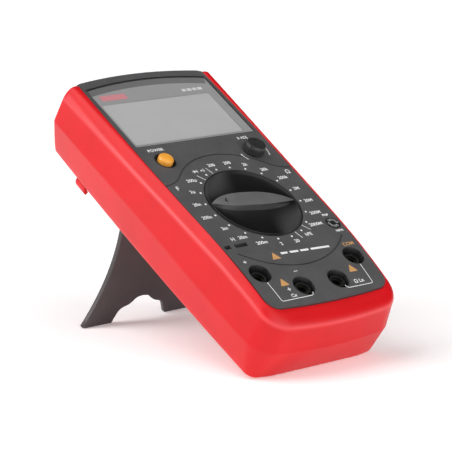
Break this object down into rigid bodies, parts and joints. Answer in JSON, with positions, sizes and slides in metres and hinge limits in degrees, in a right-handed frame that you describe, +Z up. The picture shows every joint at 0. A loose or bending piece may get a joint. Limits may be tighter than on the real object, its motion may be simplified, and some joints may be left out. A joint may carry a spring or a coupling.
{
  "type": "component meter",
  "caption": "Handheld component meter in a red rubber holster, leaning on a fold-out stand, with a rotary selector, display, push button, zero knob and 4 mm sockets.",
  "frame": {"origin": "on the bench top, at the middle of the flat on the holster's lower back edge, where the meter stands", "axes": "+Z up, +X to the right as seen by the user, +Y away from the user, towards the stand; the panel leans back 31.5 degrees from the bench top"},
  "size_m": [0.0832, 0.153, 0.1135],
  "materials": {
    "holster_rubber": "satin moulded rubber",
    "case_plastic": "fine spark-eroded texture",
    "lens_acrylic": "polished",
    "lcd_glass": "polished",
    "black_plastic": "moulded",
    "elastomer": "smooth",
    "board_laminate": "solder mask",
    "gold_plating": "plated",
    "chip_epoxy": "moulded",
    "fuse_glass": "polished",
    "spring_brass": "bright",
    "capacitor_sleeve": "shrink sleeve",
    "trimmer_plastic": "moulded",
    "battery_can": "printed can",
    "wire_red": "insulation",
    "wire_black": "insulation",
    "screw_steel": "zinc plated",
    "socket_plastic": "moulded",
    "socket_brass": "turned",
    "switch_plastic": "moulded",
    "knob_plastic": "satin",
    "rotor_acetal": "moulded",
    "ball_steel": "polished",
    "spring_steel": "bright",
    "button_plastic": "satin",
    "stand_plastic": "fine texture"
  },
  "bodies": {
    "meter": {"battery": "battery_can", "battery_cover": "case_plastic", "battery_cover_screw": "screw_steel", "battery_lead_black": "wire_black", "battery_lead_red": "wire_red", "battery_snap": "black_plastic", "board_screws": "screw_steel", "buzzer": "black_plastic", "capacitors": "capacitor_sleeve", "case_screws": "screw_steel", "display_lens": "lens_acrylic", "front_case": "case_plastic", "fuse": "fuse_glass", "fuse_clips": "spring_brass", "holster": "holster_rubber", "input_socket_1": "socket_brass", "input_socket_2": "socket_brass", "input_socket_3": "socket_brass", "input_socket_4": "socket_brass", "jack_housing": "socket_plastic", "lcd_frame": "black_plastic", "lcd_panel": "lcd_glass", "main_board": "board_laminate", "main_chip": "chip_epoxy", "power_switch": "switch_plastic", "rear_case": "case_plastic", "slot_block": "socket_plastic", "slot_contacts": "spring_brass", "switch_tracks": "gold_plating", "transistor_socket": "socket_plastic", "trimmers": "trimmer_plastic", "zebra_strips": "elastomer", "zero_pot": "switch_plastic"},
    "selector": {"selector_knob": "knob_plastic", "selector_rotor": "rotor_acetal", "detent_balls": "ball_steel", "detent_springs": "spring_steel", "contact_brushes": "spring_brass"},
    "power": {"power_button": "button_plastic", "switch_stem": "switch_plastic"},
    "zero_adjust": {"zero_knob": "knob_plastic", "zero_shaft": "screw_steel"},
    "stand": {"tilt_stand": "stand_plastic"}
  },
  "joints": [
    {"name": "stand_hinge", "type": "hinge", "parent": "meter", "child": "stand", "pos_m": [0, 0.09903, 0.063], "axis": [1, 0, 0], "range_deg": [-80, 0]},
    {"name": "selector_spin", "type": "hinge", "parent": "meter", "child": "selector", "pos_m": [0, 0.03713, 0.06448], "axis": [0, -0.5225, 0.8526], "continuous": true},
    {"name": "zero_spin", "type": "hinge", "parent": "meter", "child": "zero_adjust", "pos_m": [0.023, 0.06416, 0.08104], "axis": [0, -0.5225, 0.8526], "range_deg": [-140, 140]},
    {"name": "power_press", "type": "slide", "parent": "meter", "child": "power", "axis": [0, 0.5225, -0.8526], "range_m": [0, 0.0015], "stiffness_N_per_m": 250, "springref_m": -0.002}
  ]
}
